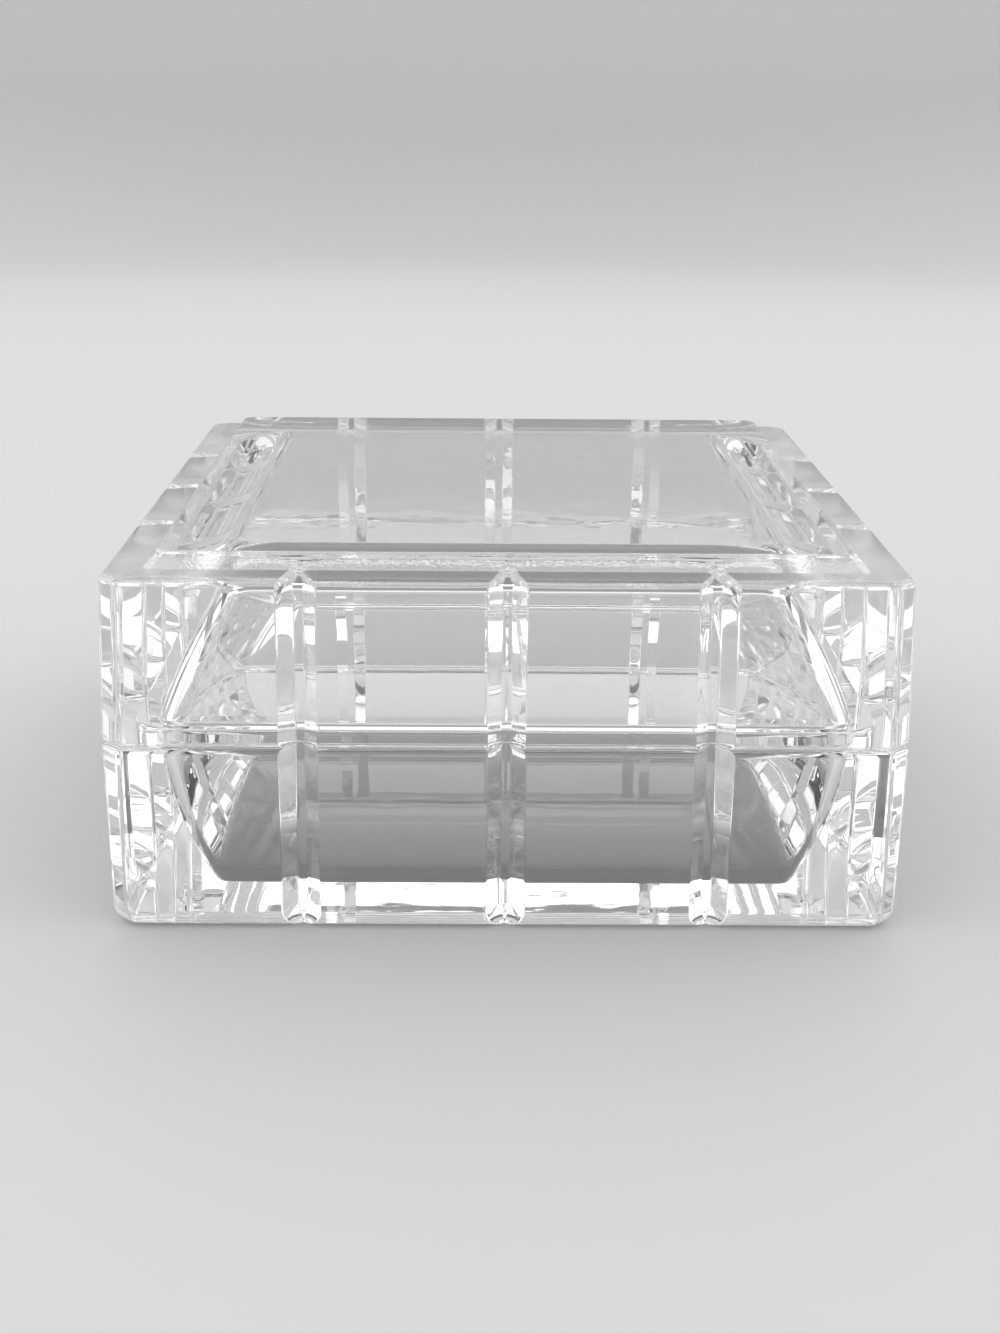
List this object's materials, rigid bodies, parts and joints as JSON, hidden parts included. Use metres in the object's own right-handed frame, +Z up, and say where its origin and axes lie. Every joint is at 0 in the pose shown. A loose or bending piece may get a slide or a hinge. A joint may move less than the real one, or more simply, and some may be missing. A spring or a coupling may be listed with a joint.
{
  "type": "lidded glass box",
  "caption": "Rectangular clear pressed-glass trinket box with upright V grooves and a lift-off lid that seats on a low lip.",
  "frame": {"origin": "centre of the flat underside, on the surface that the box stands on", "axes": "+Z up, +X to the right along the shorter side, +Y to the back along the longer side, with the front at -Y"},
  "size_m": [0.1, 0.114, 0.0474],
  "materials": {
    "clear_glass": "clear colourless pressed glass, fire-polished, with softened edges and faint mould waviness"
  },
  "bodies": {
    "base": {"glass_base": "clear_glass"},
    "lid": {"glass_lid": "clear_glass"}
  },
  "joints": [
    {"name": "lid_lift", "type": "slide", "parent": "base", "child": "lid", "axis": [0, 0, 1], "range_m": [0, 0.06]}
  ]
}
